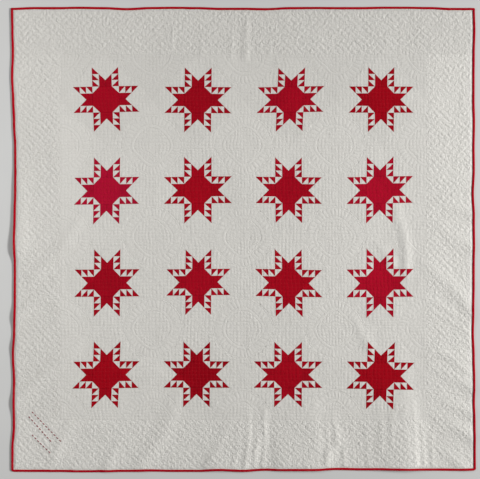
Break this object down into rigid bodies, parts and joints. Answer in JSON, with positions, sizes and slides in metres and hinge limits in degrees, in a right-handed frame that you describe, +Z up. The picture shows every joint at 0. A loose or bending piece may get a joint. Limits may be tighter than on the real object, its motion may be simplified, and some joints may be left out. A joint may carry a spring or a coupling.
{
  "type": "star quilt",
  "caption": "Square white bed quilt with red feathered star blocks set on point, quilted all over and bound in red, lying flat.",
  "frame": {"origin": "under the middle of the quilt, on the surface that it lies on", "axes": "+X to the quilt's right, +Y to its top edge, +Z up through the cloth"},
  "size_m": [2.1939, 2.1971, 0.0168],
  "materials": {
    "white_cotton": "plain woven cotton, washed, matt",
    "red_cotton": "plain woven dyed cotton, matt"
  },
  "bodies": {
    "root": {"quilt_body": "white_cotton", "binding_top": "red_cotton", "binding_bottom": "red_cotton", "binding_left": "red_cotton", "binding_right": "red_cotton"}
  },
  "joints": []
}
